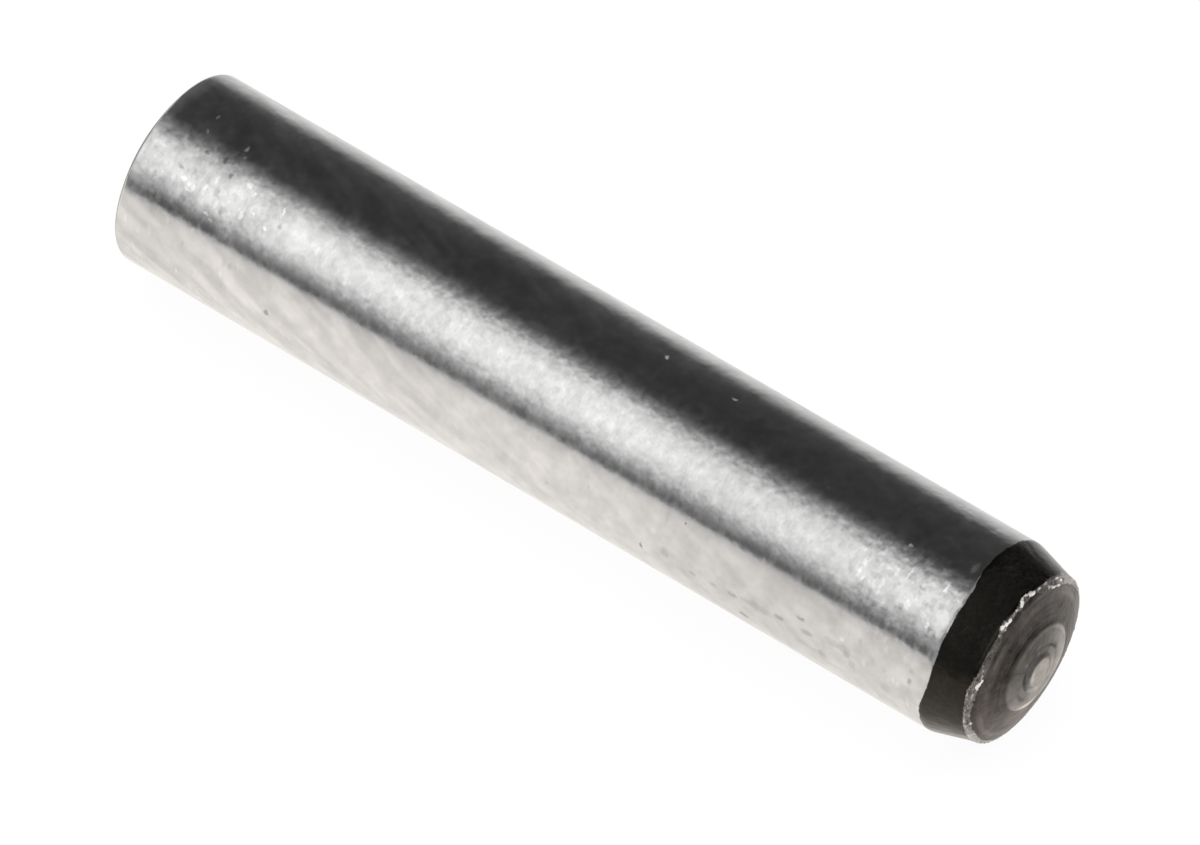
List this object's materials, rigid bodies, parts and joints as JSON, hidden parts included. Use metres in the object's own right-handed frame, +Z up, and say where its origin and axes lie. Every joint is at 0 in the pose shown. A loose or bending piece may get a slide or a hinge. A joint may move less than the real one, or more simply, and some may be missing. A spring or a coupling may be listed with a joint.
{
  "type": "dowel pin",
  "caption": "Straight round steel pin that presses into reamed holes to locate two parts, with a chamfered crowned lead end and a plain crowned end.",
  "frame": {"origin": "on the pin's axis, half way along its overall length", "axes": "+X along the pin's axis towards the chamfered lead end, +Z up with the pin lying level"},
  "size_m": [0.026, 0.005, 0.005],
  "materials": {
    "ground_steel": "ground and tumbled bright shank, black heat-treatment scale on the lead chamfer, dull grey turned face"
  },
  "bodies": {
    "root": {"dowel_pin": "ground_steel"}
  },
  "joints": []
}
